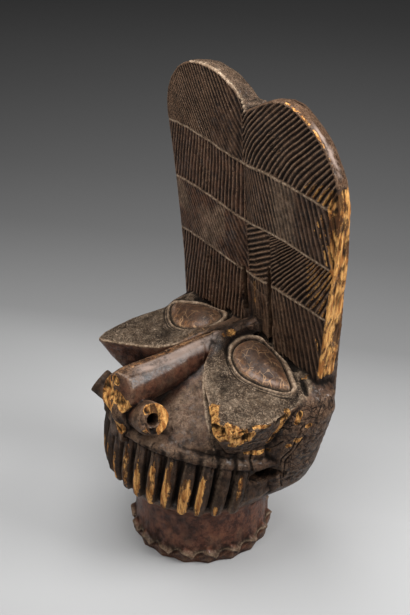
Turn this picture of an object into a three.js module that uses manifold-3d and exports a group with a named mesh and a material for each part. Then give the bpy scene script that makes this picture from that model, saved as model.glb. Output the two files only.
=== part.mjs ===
// Carved wooden crest mask: two tall ribbed lobes over a head with shelf-like cheeks, a long nose and a toothed mouth,
// standing on a hollow neck. One block of wood, so one solid. Millimetres, +Z up, the face looks along -Y.
// Sizes are measured from the middle of the neck's underside; the finished solid is then moved so that the origin
// is the middle of its bounding box on that same plane.
import * as THREE from "three";
import { mergeVertices } from "three/addons/utils/BufferGeometryUtils.js";
import Module from "manifold-3d";

const wasm = await Module();
wasm.setup();

// Neck
const NECK_R = 101;
const BAND_R = 110;
const BAND_H = 27;
const BAND_UNITS = 18;
const NECK_TOP = 92;
const BORE_R = 78;

// Crest
const CREST_FOOT = 262;
const CREST_TOP = 726;
const CREST_THICK = 34;
const CREST_TAPER = 0.022;
const CREST_LEAN = 0.072;
const CREST_LEAN_Z = 440;
const CREST_FRONT = 87;
const LINES_Z = [593, 502, 415];
const LINE_ARCH = 15;
const GROOVE_PITCH = 9;
const GROOVE_WIDTH = 5.4;
const GROOVE_DEPTH = 2.2;
const HATCH_ANGLE = 48;
const FALL_ANGLE = 80;

// Mouth
const MOUTH_Y = 10;
const MOUTH_A = 141;
const MOUTH_B = 147;
const TOOTH_COUNT = 16;
const TOOTH_STEP = 9.95;
const TOOTH_SHIFT = -1.1;
const TOOTH_FOOT = 118;
const TOOTH_BULGE = 10;

const rad = THREE.MathUtils.degToRad;

// A closed mesh through rings of equal length, with a fan over each end, or one triangle over a ring of three.
function loft(rings) {
  const n = rings[0].length;
  const pos = rings.flat(2);
  const index = [];
  for (let r = 0; r + 1 < rings.length; r += 1) {
    for (let i = 0; i < n; i += 1) {
      const a = r * n + i;
      const b = r * n + ((i + 1) % n);
      index.push(a, b, b + n, a, b + n, a + n);
    }
  }
  for (const [ring, start, flip] of [[rings[0], 0, true], [rings.at(-1), (rings.length - 1) * n, false]]) {
    if (n === 3) {
      index.push(...(flip ? [start + 2, start + 1, start] : [start, start + 1, start + 2]));
      continue;
    }
    const centre = [0, 1, 2].map((k) => ring.reduce((sum, p) => sum + p[k], 0) / n);
    const c = pos.length / 3;
    pos.push(...centre);
    for (let i = 0; i < n; i += 1) {
      const a = start + i;
      const b = start + ((i + 1) % n);
      index.push(...(flip ? [b, a, c] : [a, b, c]));
    }
  }
  let volume = 0;
  const v = (i) => new THREE.Vector3(pos[3 * i], pos[3 * i + 1], pos[3 * i + 2]);
  for (let t = 0; t < index.length; t += 3) {
    volume += v(index[t]).dot(v(index[t + 1]).cross(v(index[t + 2])));
  }
  if (volume < 0) {
    index.reverse();
  }
  const geometry = new THREE.BufferGeometry();
  geometry.setAttribute("position", new THREE.Float32BufferAttribute(pos, 3));
  geometry.setIndex(index);
  return geometry;
}

function solid(geometry) {
  const bare = geometry.clone();
  bare.deleteAttribute("normal");
  bare.deleteAttribute("uv");
  const merged = mergeVertices(bare, 1e-4);
  return new wasm.Manifold(new wasm.Mesh({
    numProp: 3,
    vertProperties: Float32Array.from(merged.attributes.position.array),
    triVerts: Uint32Array.from(merged.index.array),
  }));
}

const lofted = (rings) => solid(loft(rings));

const circle = (count, at) => Array.from({ length: count }, (_, i) => at((i / count) * 2 * Math.PI, i));

// Linear reading of a table of [key, value, value, ...] rows.
function table(rows, key) {
  const last = rows.length - 1;
  if (key <= rows[0][0]) {
    return rows[0].slice(1);
  }
  for (let i = 0; i < last; i += 1) {
    if (key <= rows[i + 1][0]) {
      const t = (key - rows[i][0]) / (rows[i + 1][0] - rows[i][0]);
      return rows[i].slice(1).map((value, k) => value + t * (rows[i + 1][k + 1] - value));
    }
  }
  return rows[last].slice(1);
}

// Neck: smooth tube over a foot band whose ridge zigzags up and down round it.
function neck() {
  const columns = 2 * BAND_UNITS;
  const ring = (low, high, rLow, rHigh) => circle(columns, (a, i) => {
    const up = i % 2 === 0;
    const r = up ? rHigh : rLow;
    return [r * Math.sin(a), -r * Math.cos(a), up ? high : low];
  });
  return lofted([
    ring(0, 0, 101, 106),
    ring(5, 6, 104, BAND_R - 1),
    ring(10, 22, 106, BAND_R + 0.5),
    ring(16, BAND_H + 1, NECK_R + 0.5, NECK_R + 1.5),
    ring(58, 58, NECK_R - 1, NECK_R - 1),
    ring(NECK_TOP, NECK_TOP, NECK_R - 1, NECK_R - 1),
    ring(NECK_TOP + 40, NECK_TOP + 40, NECK_R - 6, NECK_R - 6),
  ]);
}

// Plan outline of the head at one height: an ellipse in front of its widest line, a fuller curve behind it.
function planRing(count, z, half, front, back, mid, full) {
  return circle(count, (a) => {
    const s = Math.sin(a);
    const c = Math.cos(a);
    const p = c > 0 ? 2 : full;
    const k = (Math.abs(s) ** p + Math.abs(c) ** p) ** (-1 / p);
    return [half * s * k, mid - (c > 0 ? mid - front : back - mid) * c * k, z];
  });
}

// Jaw and muzzle under the teeth and the nose. Rows: height, half width, front, back, widest line, fullness behind.
const JAW = [
  [80, 97, -97, 97, 0, 2], [96, 108, -107, 105, 3, 2], [112, 126, -123, 110, 8, 2], [130, 136, -132, 115, 10, 2],
  [168, 139, -135, 118, 10, 2], [214, 139, -135, 118, 10, 2], [236, 136, -131, 118, 12, 2], [254, 124, -103, 118, 24, 2],
  [272, 106, -76, 118, 34, 2], [294, 84, -42, 118, 44, 2], [318, 52, 10, 118, 56, 2],
];
// Sides and back of the head, in the same rows.
const SKULL = [
  [84, 96, -60, 99, 20, 2.1], [98, 110, -50, 114, 40, 2.3], [114, 128, -40, 123, 52, 2.6], [132, 144, -32, 128, 60, 2.8],
  [168, 160, -26, 132, 64, 3], [212, 172, -24, 135, 68, 3], [250, 181, -28, 136, 76, 3], [270, 183, -30, 136, 86, 3],
  [292, 176, -20, 136, 92, 3], [316, 142, 30, 132, 94, 2.6],
];

const head = () => lofted(JAW.map((row) => planRing(32, ...row))).add(lofted(SKULL.map((row) => planRing(28, ...row))));

// Crest outlines from the notch down the edge, with how far the back edge lies inside the front one at each point.
const EDGE_LEFT = [
  [-12, 677, 0], [-4, 685.5, -2], [3, 694, 1], [10, 703.5, 4], [18, 711, 6.5], [28, 717, 7.5], [40, 721, 8],
  [56, 723, 9], [78, 722, 7], [101.5, 716, 6], [120, 706.5, 5.5], [140, 692, 5], [163, 671, 5], [180, 648, 5],
  [189.5, 625, 4], [193, 606, 3], [190, 580, 3], [184, 552, 3], [178, 516, 3], [174, 474, 3], [171, 430, 3],
  [169, 380, 3], [170, 330, 3], [172, 290, 3], [168, CREST_FOOT, 3],
];
const EDGE_RIGHT = [
  [12, 677, 0], [22, 684, 0], [36, 692.5, 2], [50, 702, 3], [66, 712, 3.5], [84, 721, 6], [104, CREST_TOP, 10],
  [118, 725, 12], [130, 721, 13], [143, 714, 13], [155, 704, 12], [165, 693.5, 10.5], [175, 680, 9.5],
  [183.5, 665, 9], [189.5, 650, 7.5], [193.5, 635, 5.5], [195.8, 616, 3.5], [196, 590, 3], [192.5, 550, 3],
  [189, 510, 3], [183.5, 480, 3], [177.5, 450, 3], [170.5, 395, 3], [162, 340, 3], [155, 290, 3],
  [152, CREST_FOOT, 3],
];
// The notch on the back edge lies higher and further out.
const BACK_NOTCH = { x: 19.5, z: 686.5 };
// How far the lobes stand forward of the crest's edge plane, by distance from the middle.
const LOBE = [[0, 2], [36, 12.4], [132, 12.8], [200, -5]];

const crestPlane = (z) => CREST_FRONT - CREST_LEAN * (z - CREST_LEAN_Z);
const crestFront = (x, z) => crestPlane(z) - table(LOBE, Math.abs(x))[0];

// Thickness of the crest at a height: it thins towards the top.
const thickAt = (z) => CREST_THICK - CREST_TAPER * (z - CREST_FOOT);

function crest() {
  const half = (edge, side) => edge.map(([x, z, cut], i) => {
    const before = edge[Math.max(i - 1, 0)];
    const after = edge[Math.min(i + 1, edge.length - 1)];
    const run = new THREE.Vector2(after[0] - before[0], after[1] - before[1]).normalize();
    if (i === 0) {
      return { x: side * x, z, inX: BACK_NOTCH.x, inZ: BACK_NOTCH.z };
    }
    return { x: side * x, z, inX: side * (x + run.y * cut), inZ: z - run.x * cut };
  });
  const outline = [...half(EDGE_RIGHT, 1), ...half(EDGE_LEFT, -1).slice(1).reverse()];
  const at = (offset, share, t) => outline.map((p) => {
    const x = p.x + (p.inX - p.x) * t;
    const z = p.z + (p.inZ - p.z) * t;
    return [x, crestPlane(z) + offset + thickAt(z) * share, z];
  });
  const slab = lofted([at(-40, 0, 0), at(0, 0, 0), at(-6, 1, 0.85), at(0, 1, 1.35)]);
  const knots = LOBE.map(([x]) => x);
  const xs = [...knots.slice(1).reverse().map((x) => -x), ...knots];
  const section = (z) => [
    ...xs.map((x) => [x, crestFront(x, z), z]),
    ...[...xs].reverse().map((x) => [x, crestPlane(z) + CREST_THICK + 20, z]),
  ];
  return slab.intersect(lofted([section(CREST_FOOT - 20), section(CREST_TOP + 20)]));
}

// Half width of the crest at a height, for the grooves.
function crestHalf(side, z) {
  const edge = side > 0 ? EDGE_RIGHT : EDGE_LEFT;
  return table(edge.filter(([x]) => x > 99).map(([x, h]) => [-h, x]), -z)[0];
}

const crestTopAt = (side, x) => table((side > 0 ? EDGE_RIGHT : EDGE_LEFT).slice(0, 12), x)[0];

// Height of a band line at a distance from the middle.
const lineAt = (k, x) => LINES_Z[k] + LINE_ARCH * (1 - ((x - 92) / 92) ** 2);

// V groove along points on the crest's front, as one closed strip.
function groove(points, width, depth) {
  const first = points[0];
  const last = points.at(-1);
  const along = new THREE.Vector2(last[0] - first[0], last[1] - first[1]).normalize();
  const sx = (-along.y * width) / 2;
  const sz = (along.x * width) / 2;
  const over = 3;
  const k = (over + depth) / depth;
  return lofted(points.map(([x, z]) => {
    const y = crestFront(x, z);
    return [[x - sx * k, y - over, z - sz * k], [x + sx * k, y - over, z + sz * k], [x, y + depth, z]];
  }));
}

// One band's grooves on one lobe: parallel lines at an angle, kept inside the band and broken at the lobe's facets.
function bandGrooves(side, band) {
  const hatch = band % 2 === 0;
  const angle = rad(hatch ? HATCH_ANGLE : -FALL_ANGLE);
  const dir = [Math.cos(angle), Math.sin(angle)];
  const floor = (x) => (band === 3 ? 318 : lineAt(band, x) + 3);
  const roof = (x) => (band === 0 ? crestTopAt(side, x) - 5 : lineAt(band - 1, x) - 3);
  const inside = (x, z) => x > 3.5 && x < crestHalf(side, z) - 4 && z > floor(x) && z < roof(x);
  const facets = LOBE.map(([x]) => x);
  const cuts = [];
  const base = band === 3 ? 360 : LINES_Z[band] + 40;
  for (let start = -300; start < 420; start += GROOVE_PITCH) {
    const run = [];
    for (let t = -320; t <= 320; t += 1) {
      const x = start + dir[0] * t;
      const z = base + dir[1] * t;
      if (inside(x, z)) {
        run.push([x, z]);
      }
    }
    if (run.length < 14) {
      continue;
    }
    const [a, b] = [run[0], run.at(-1)];
    const lo = Math.min(a[0], b[0]);
    const hi = Math.max(a[0], b[0]);
    const breaks = facets.filter((x) => x > lo + 0.5 && x < hi - 0.5);
    const at = (x) => [x, a[1] + ((x - a[0]) / (b[0] - a[0])) * (b[1] - a[1])];
    const points = [a, ...(a[0] < b[0] ? breaks : breaks.reverse()).map(at), b];
    cuts.push(groove(points.map(([x, z]) => [side * x, z]), GROOVE_WIDTH, GROOVE_DEPTH));
  }
  return cuts;
}

// Incised line between two bands.
function bandLine(side, k) {
  const end = crestHalf(side, LINES_Z[k]);
  const xs = [2, ...LOBE.map(([x]) => x).filter((x) => x > 2 && x < end - 4), end];
  return groove(xs.map((x) => [side * x, lineAt(k, x)]), 3, 1.6);
}

// Short slots that free a strip at the foot of the crest's middle.
function slot(x, width, low, high, depth) {
  const section = (z, w, d) => {
    const y = crestPlane(z);
    return [[x - w / 2, y - 40, z], [x + w / 2, y - 40, z], [x + w / 4, y + d, z], [x - w / 4, y + d, z]];
  };
  return lofted([section(low, width, depth), section(high - 22, width, depth), section(high, width * 0.4, -6)]);
}

// Cheeks: a shelf with a sharp rim, a domed top and a wall that runs in below. Given for +X.
const CHEEK_RIM = [
  [12, 14, 333], [34, -20, 315], [60, -38, 302], [88, -51, 295], [116, -69, 292], [136, -83, 291], [149, -83, 289],
  [161, -65, 287], [168, -38, 286], [171, -8, 286], [169, 20, 287], [165, 48, 289], [158, 80, 292], [146, 112, 297],
  [90, 120, 306], [30, 114, 322], [8, 60, 333],
];
const CHEEK_MID = [96, 22];

function cheek(side) {
  const scaled = (k, rise) => CHEEK_RIM.map(([x, y, z], i) => [
    side * (CHEEK_MID[0] + (x - CHEEK_MID[0]) * k),
    CHEEK_MID[1] + (y - CHEEK_MID[1]) * k,
    rise(z, i),
  ]);
  return lofted([
    scaled(0.66, () => 228),
    scaled(0.84, (z) => 228 + (z - 228) * 0.45),
    scaled(0.975, (z) => z - 8),
    scaled(1, (z) => z - 4),
    scaled(1, (z) => z),
    scaled(0.86, (z) => 0.86 * z + 0.14 * 300 + 5),
    scaled(0.5, (z) => 0.5 * z + 0.5 * 301 + 6),
  ]);
}

// Eyes: an almond bulge inside a raised rim. The bulge's edge in plan for +X, from its inner corner round the back.
const EYE = { mid: [90, 42], z: 309, fall: 0.2, roll: 0.16, turn: 5 };
const EYE_EDGE = [
  [54, 20], [39, 32], [35, 49], [40, 64], [54, 71.5], [76, 72.5], [100, 69], [122, 61], [141.5, 50], [121, 32],
  [99, 20], [78, 15],
];

function eye(side) {
  const [mx, my] = EYE.mid;
  const c = Math.cos(rad(EYE.turn));
  const s = Math.sin(rad(EYE.turn));
  const ring = (k, pad, h) => EYE_EDGE.map(([x, y]) => {
    const far = Math.hypot(x - mx, y - my);
    const px = mx + (x - mx) * (k + pad / far);
    const py = my + (y - my) * (k + pad / far);
    const u = (px - mx) * c + (py - my) * s;
    const v = (py - my) * c - (px - mx) * s;
    return [side * px, py, EYE.z + h - EYE.fall * u + EYE.roll * v];
  });
  return lofted([
    ring(1, 9, -26), ring(1, 9, 2), ring(1, 7.5, 6), ring(1, 4, 6.5), ring(1, 2, 3.5), ring(1, 0, 6), ring(0.74, 0, 14),
    ring(0.38, 0, 18.5),
  ]);
}

// Nose: a long bar from the crest's foot to the tip. Rows: y, top, half width, bottom, sideways shift.
const NOSE = [
  [104, 344, 20, 290, 10], [72, 343, 20, 290, 9], [50, 341, 19, 290, 7], [28, 338, 16, 288, 5], [12, 338, 18, 286, 3],
  [-10, 337, 21, 285, 1], [-50, 333, 25, 283, 0], [-95, 331, 29, 280, 0], [-130, 331, 31, 277, 0],
  [-148, 329, 28, 278, 3], [-174, 326, 23, 280, 7],
];

// The tip is broken off along a steep plane that faces forward and to +X.
const TIP_BREAK = { at: [-28, -155, 322], normal: [0.33, -0.9, 0.285] };

function tipBreak() {
  const [[x0, y0, z0], [nx, ny, nz]] = [TIP_BREAK.at, TIP_BREAK.normal];
  const face = (x, z) => y0 - (nx * (x - x0) + nz * (z - z0)) / ny;
  return lofted([200, 400].map((z) => [[-60, face(-60, z), z], [-60, -240, z], [60, -240, z], [60, face(60, z), z]]));
}

function nose() {
  const bar = lofted(NOSE.map(([y, top, w, bottom, shift]) => {
    const h = top - bottom;
    const half = [[0, top], [0.45 * w, top - 0.05 * h], [0.86 * w, top - 0.3 * h], [w, top - 0.66 * h]];
    const left = half.slice(1).reverse().map(([x, z]) => [-x, z]);
    return [...half, [0.72 * w, bottom], [-0.72 * w, bottom], ...left].map(([x, z]) => [x + shift, y, z]);
  }));
  const web = lofted([[60, 310, 10], [0, 305, 12], [-70, 300, 13], [-128, 295, 15], [-150, 290, 15]].map(([y, z, w], i) => {
    const low = [250, 245, 235, 215, 222][i];
    return [[w, y, z], [-w, y, z], [-w, y, low], [w, y, low]];
  }));
  const front = lofted([
    [[22, -130, 300], [-22, -130, 300], [-22, -154, 300], [-8, -166, 300], [10, -168, 300], [24, -158, 300]],
    [[21, -124, 276], [-18, -124, 276], [-15, -154, 276], [-4, -163, 276], [9, -164, 276], [20, -154, 276]],
    [[17, -112, 250], [-11, -112, 250], [-8, -142, 250], [2, -153, 250], [12, -153, 250], [19, -142, 250]],
    [[13, -96, 222], [-9, -96, 222], [-7, -126, 222], [2, -137, 222], [10, -137, 222], [15, -126, 222]],
  ]);
  return bar.add(web).add(front).subtract(tipBreak());
}

// Nostrils: short horns that open sideways. The one at +X is broken short.
function tube(from, to, radii, count) {
  const a = new THREE.Vector3(...from);
  const axis = new THREE.Vector3(...to).sub(a);
  const side = new THREE.Vector3(0, 0, 1).cross(axis).normalize();
  const up = axis.clone().cross(side).normalize();
  return lofted(radii.map(([t, r]) => circle(count, (ang) => a.clone().addScaledVector(axis, t)
    .addScaledVector(side, r * Math.cos(ang)).addScaledVector(up, r * Math.sin(ang)).toArray())));
}

const NOSTRIL = { at: [20, -120, 262], whole: [58, -139, 286], broken: [61, -125, 278], rWhole: 20, rBroken: 25 };

function nostril(side) {
  const at = [side * NOSTRIL.at[0], NOSTRIL.at[1], NOSTRIL.at[2]];
  const far = side < 0 ? NOSTRIL.whole : NOSTRIL.broken;
  const r = side < 0 ? NOSTRIL.rWhole : NOSTRIL.rBroken;
  const to = [side * far[0], far[1], far[2]];
  return {
    body: tube(at, to, [[-0.1, r - 4], [0.6, r], [1, r - 1]], 16),
    hole: tube(at, to, [[0.45, 7], [0.8, 9], [1.2, 11]], 12),
  };
}

// Mouth: sixteen ribs round the jaw, hanging free at their lower ends under a lip ledge.
const mouthPoint = (a, out, z) => [(MOUTH_A + out) * Math.sin(a), MOUTH_Y - (MOUTH_B + out) * Math.cos(a), z];
const toothTop = (a) => 227 - 38 * Math.min(1.1, Math.abs(a) / rad(80)) ** 2;
const toothFoot = (a) => TOOTH_FOOT + 9 * (1 - Math.min(1, Math.abs(a) / rad(45)) ** 2);

function tooth(k) {
  const mid = rad(k * TOOTH_STEP + TOOTH_SHIFT);
  const [top, foot] = [toothTop(mid), toothFoot(mid)];
  const half = rad(TOOTH_STEP) * 0.42;
  const lean = rad(4 + 3 * Math.sin(mid));
  const level = (t, out, w) => {
    const z = foot + (top - foot) * t;
    const a = mid + lean * (t - 0.5);
    return [[-1, -8], [-0.8, out * 0.55], [0, out], [0.8, out * 0.55], [1, -8]]
      .map(([u, o]) => mouthPoint(a + u * half * w, o, z));
  };
  return lofted([
    level(0, 1, 0.5), level(0.07, 7, 0.86), level(0.3, TOOTH_BULGE, 1), level(0.64, TOOTH_BULGE - 1, 1), level(1.03, 3, 0.9),
  ]);
}

function lip() {
  const steps = 16;
  return lofted(Array.from({ length: steps + 1 }, (_, i) => {
    const a = rad(-97 + (194 * i) / steps);
    const z = toothTop(a) + 7;
    return [[-14, -6], [4, -6], [8, -2], [7, 4], [1, 9], [-14, 14]].map(([o, h]) => mouthPoint(a, o, z + h));
  }));
}

// Slit at each corner of the mouth, open to the hollow inside.
function corner(side) {
  const a = rad(90);
  return lofted([[0, 0.5], [0.35, 0.8], [1, 1]].map(([t, k]) => circle(10, (ang) => {
    const along = 27 * Math.cos(ang) * k;
    const p = mouthPoint(a + along / MOUTH_A, -60 + 90 * t, 168 + 14 * Math.sin(ang) * k);
    return [side * p[0], p[1], p[2]];
  })));
}

// Hollow: a round bore up the neck that widens and closes inside the head.
function hollow() {
  const rows = [[-2, BORE_R, 0], [88, BORE_R, 0], [120, 90, 4], [150, 100, 8], [185, 102, 12], [212, 84, 22], [228, 50, 32]];
  return lofted(rows.map(([z, r, y]) => circle(24, (a) => [r * Math.sin(a), y - r * Math.cos(a), z])));
}

// Foot of the strip, where it runs down into the root of the nose.
function root() {
  return tube([9, 42, 325], [26, 94, 338], [[-0.1, 9], [0.3, 15], [0.7, 14], [1, 15]], 12);
}

// Breaks in the rim of the cheek at +X.
function breaks() {
  const bites = [
    [[122, -98, 287], [176, -68, 291], 16],
    [[168, -64, 282], [182, -12, 288], 11],
    [[166, 6, 280], [182, 56, 281], 9],
  ];
  return bites.map(([a, b, r]) => tube(a, b, [[0, r * 0.7], [0.4, r], [1, r * 0.6]], 7));
}

const joined = (parts) => parts.reduce((sum, part) => sum.add(part));

const teeth = Array.from({ length: TOOTH_COUNT }, (_, i) => tooth(i - (TOOTH_COUNT - 1) / 2));
const nostrils = [-1, 1].map(nostril);
const carving = joined([-1, 1].flatMap((side) => [
  ...[0, 1, 2].map((k) => bandLine(side, k)),
  ...(side < 0 ? [1, 3] : [0, 2, 3]).flatMap((band) => bandGrooves(side, band)),
]));
const cuts = joined([
  slot(-9, 12, 346, 428, 16),
  slot(60, 16, 322, 458, 14),
  corner(-1),
  corner(1),
  hollow(),
  ...nostrils.map((horn) => horn.hole),
  ...breaks(),
]);
const body = joined([
  crest().subtract(carving),
  neck(),
  head(),
  cheek(-1),
  cheek(1),
  eye(-1),
  eye(1),
  lip(),
  root(),
  nose(),
  ...teeth,
  ...nostrils.map((horn) => horn.body),
]).subtract(cuts);

const whole = body.getMesh();
const geometry = new THREE.BufferGeometry();
geometry.setAttribute("position", new THREE.Float32BufferAttribute(whole.vertProperties, 3));
geometry.setIndex(new THREE.Uint32BufferAttribute(whole.triVerts, 1));
geometry.computeVertexNormals();

const wood = new THREE.MeshStandardMaterial({ color: 0x3a2a20, roughness: 0.55, metalness: 0 });
const mask = new THREE.Mesh(geometry, wood);
mask.name = "carved_mask";
geometry.computeBoundingBox();
const middle = geometry.boundingBox.getCenter(new THREE.Vector3());
mask.position.set(-middle.x, -middle.y, -geometry.boundingBox.min.z);

const model = new THREE.Group();
model.add(mask);
export default model;
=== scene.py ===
import math
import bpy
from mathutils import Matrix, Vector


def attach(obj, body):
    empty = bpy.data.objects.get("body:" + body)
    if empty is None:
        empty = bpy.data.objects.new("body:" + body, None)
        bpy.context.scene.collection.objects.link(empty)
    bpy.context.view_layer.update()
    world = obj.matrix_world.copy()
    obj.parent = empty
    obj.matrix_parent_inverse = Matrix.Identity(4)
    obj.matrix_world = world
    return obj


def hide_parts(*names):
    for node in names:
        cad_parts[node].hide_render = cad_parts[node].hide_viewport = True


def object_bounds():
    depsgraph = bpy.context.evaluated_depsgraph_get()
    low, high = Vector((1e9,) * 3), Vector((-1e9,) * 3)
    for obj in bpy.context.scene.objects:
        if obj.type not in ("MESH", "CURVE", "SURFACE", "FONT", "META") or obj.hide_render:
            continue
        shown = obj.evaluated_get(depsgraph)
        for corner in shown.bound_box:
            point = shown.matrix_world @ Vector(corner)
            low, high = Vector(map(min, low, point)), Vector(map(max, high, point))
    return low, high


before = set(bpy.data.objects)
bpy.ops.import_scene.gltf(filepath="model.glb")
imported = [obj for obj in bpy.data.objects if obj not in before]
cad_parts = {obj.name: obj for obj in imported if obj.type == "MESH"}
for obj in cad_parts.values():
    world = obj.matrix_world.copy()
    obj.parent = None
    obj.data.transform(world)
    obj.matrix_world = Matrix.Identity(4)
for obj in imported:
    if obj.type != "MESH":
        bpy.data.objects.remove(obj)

from types import SimpleNamespace

import bmesh
import bpy
import numpy as np
from mathutils import Vector, kdtree

cad_low, cad_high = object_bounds()

# The carver's frame: millimetres from the middle of the neck's underside.
MM = 0.001
CARVER_ORIGIN = np.array([-1.455, 13.494, 0.0])
BOX_MARGIN = 0.05

# Mesh of the carved block
WELD = 1e-5
EDGE_STEP = 0.002
VOXEL = 0.0014
CREASE_ANGLE = math.radians(42)
CREASE_REACH = 9.0
SMOOTH_PASSES = 44
FACE_COUNT = 195000

# Crest. Its front is a leaning plane with a swell before it and three arched band lines.
PLANE_Y = 87
PLANE_LEAN = 0.072
PLANE_LEAN_Z = 440
FRONT_FOOT = 292
LOBE_MIDDLE = 92
LOBE_WIDTH = 180
LINES_Z = (593, 502, 415)
LINE_ARCH = 15
LINE_DEPTH = 0.7
RIB_DEPTH = 2.3
# Reach to +X of the flat ribs in the third band and of the plainer field under it.
FLAT_REACH = 66
# Distance out from the middle, and how far the front stands out there.
SWELL = (
    (0, 2), (10, 6.4), (20, 10), (40, 12.9), (64, 14.3), (92, 14.8), (120, 13.2), (142, 10), (163, 5.6),
    (200, -4),
)
# Run of the ribs over the right lobe's top line: height over the line, and distance out.
TOP_CURVE = ((0, 0), (15, 7), (30, 16), (45, 27.5), (60, 41), (80, 61), (130, 113))
# Outline of each lobe from the notch between them over its top and down its side.
EDGE_LEFT = (
    (-12, 677), (-4, 685.5), (3, 694), (10, 703.5), (18, 711), (28, 717), (40, 721), (56, 723), (78, 722),
    (101.5, 716), (120, 706.5), (140, 692), (163, 671), (180, 648), (189.5, 625), (193, 606), (190, 580),
    (184, 552), (178, 516), (174, 474), (171, 430), (169, 380), (170, 330), (172, 290), (168, 262),
)
EDGE_RIGHT = (
    (12, 677), (22, 684), (36, 692.5), (50, 702), (66, 712), (84, 721), (104, 726), (118, 725), (130, 721),
    (143, 714), (155, 704), (165, 693.5), (175, 680), (183.5, 665), (189.5, 650), (193.5, 635), (195.8, 616),
    (196, 590), (192.5, 550), (189, 510), (183.5, 480), (177.5, 450), (170.5, 395), (162, 340), (155, 290),
    (152, 262),
)
# Bare strip down the crest's right side: its ends, and its inner edge as height and distance out.
BARE_LOW = 306
BARE_HIGH = 630
BARE_EDGE = (
    (292, 164), (300, 155), (346, 161), (372, 166), (402, 168), (430, 174), (454, 176), (500, 182),
    (543, 183), (585, 180), (605, 176), (618, 182), (632, 194), (640, 204),
)

# Mouth: an ellipse in plan with the teeth round it. Angles are in degrees from the front.
MOUTH_Y = 10
MOUTH_A = 141
MOUTH_B = 147
MM_PER_DEGREE = 2.5
TOOTH_COUNT = 16
TOOTH_STEP = 9.95
TOOTH_SHIFT = -1.1
TOOTH_TOP = 227
TOOTH_TOP_FALL = 38
TOOTH_FOOT = 118
TOOTH_FOOT_RISE = 9
TOOTH_HALF = 0.40
TOOTH_ROUND = 16.5
TOOTH_INSET = 6
TOOTH_HANG = 7
TOOTH_BACK = 4
TOOTH_TUCK = 3
# Share of a tooth's height from its foot, and how far it stands out there.
TOOTH_BELLY = ((0, 0.75), (0.15, 0.95), (0.35, 1), (0.65, 0.9), (1, 0.5))
# Lean of a tooth, its gain at the side, and the low end and length of the leaning run.
TOOTH_LEAN = 4
TOOTH_LEAN_GAIN = 3
LEAN_LOW = 122
LEAN_RUN = 96
TOOTH_GAP_DEPTH = 2.4
LIP_CRACKS = (6, 16, 25.5, 37, 58, -8, -21, -37, -55)
# Worn streak down a tooth: low end, high end, shift to +X, half width, strength.
TOOTH_WEAR = {
    -4.5: (130, 185, 0, 3.5, 0.8), -2.5: (132, 190, 0, 3.5, 0.8), -1.5: (146, 190, 0, 3.0, 0.8),
    -0.5: (128, 178, -1, 3.4, 0.85), 0.5: (138, 206, 1, 4.2, 1.0), 1.5: (128, 186, 1, 4.6, 0.95),
    2.5: (122, 198, 0, 5.2, 1.0), 3.5: (124, 199, -2, 5.6, 1.0), 4.5: (116, 182, 0, 6.6, 1.1),
    5.5: (116, 188, -3, 3.8, 1.0), 6.5: (116, 142, -2, 3.2, 0.75), 7.5: (150, 184, 0, 3.4, 0.85),
}

# Eyes. The bulge's edge in plan for +X, from its inner corner round the back.
EYE_EDGE = (
    (54, 20), (39, 32), (35, 49), (40, 64), (54, 71.5), (76, 72.5), (100, 69), (122, 61), (141.5, 50),
    (121, 32), (99, 20), (78, 15),
)
EYE_MID = (90, 42)
EYE_Z = 309
EYE_FALL = 0.2
EYE_ROLL = 0.16
EYE_TURN = math.radians(5)
EYE_FOOT = 5.5
EYE_SWELL = 13.5
EYE_REACH = 31
# Height over the cheek's plane at a distance outside the bulge, on the lower rim and the upper lid.
LOWER_RIM = (
    (0, 5.5), (1.4, 2.6), (3.6, 2.2), (5, 4.2), (6, 5.2), (7.2, 3.0), (8.4, 1.6), (9.6, 2.9), (10.8, 1.6),
    (13, 0),
)
UPPER_LID = (
    (0, 5.5), (1.4, 2.0), (2.8, 1.6), (4.4, 6.0), (6.4, 7.4), (9.5, 6.8), (12, 4.6), (14, 1), (16, 0),
)
CURVE_STEPS = 5
GROOVE_RISE = 5
GROOVE_REACH = 5.5
GROOVE_DEPTH = 4.5
LID_GROOVE = ((27, 60), (34, 77), (52, 87), (71, 86.5), (93, 84.5), (121, 78), (142, 73), (162, 67))

# Where the dark surface is broken away: path, reach round it, how bare it is, and its depth.
BREAKS = (
    (((109, -60, 295), (124, -72, 291), (140, -76, 283), (150, -72, 278)), 12, 1.0, 3.0),
    (((153, -66, 284), (160, -50, 276), (162, -38, 270)), 14, 1.0, 4.0),
    (((162, -38, 270), (150, -52, 258)), 9, 0.95, 3.0),
    (((166, -30, 287), (170, -5, 281)), 3.5, 0.85, 1.0),
    (((165, 29, 287), (165, 24, 276), (158, 19, 257), (148, 12, 236)), 6, 0.95, 2.5),
    (((168, 50, 278), (170, 44, 266)), 4.5, 0.9, 1.5),
    (((134, -20, 221), (139, 2, 212), (142, 17, 213)), 4, 0.85, 0.8),
    (((-26, -156, 316), (-14, -156, 300)), 17, 1.0, 3.0),
    (((-16, -158, 290), (-4, -158, 268)), 11, 1.0, 2.5),
    (((-4, -158, 268), (12, -150, 244)), 9, 0.95, 1.5),
    (((6, -156, 300), (22, -150, 288)), 11, 0.95, 1.5),
    (((-2, -148, 322), (2, -146, 318)), 6, 0.95, 1.2),
    (((56, -130, 294), (57, -118, 294), (61, -108, 284), (66, -109, 270), (68, -118, 262)), 8, 1.0, 1.2),
    (((66, -140, 268), (68, -134, 262)), 13, 0.4, 7.0),
    (((172, 49, 235), (171, 44, 234)), 5, 0.8, 0.6),
    (((163, 38, 225), (162, 34, 224)), 4, 0.75, 0.6),
    (((178, 61, 259), (177, 57, 257)), 4, 0.8, 0.8),
    (((18, 30, 340), (16, 44, 338)), 9, 0.62, 0.8),
    (((20, 84, 380), (22, 84, 424)), 7, 0.56, 0.4),
)

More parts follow.
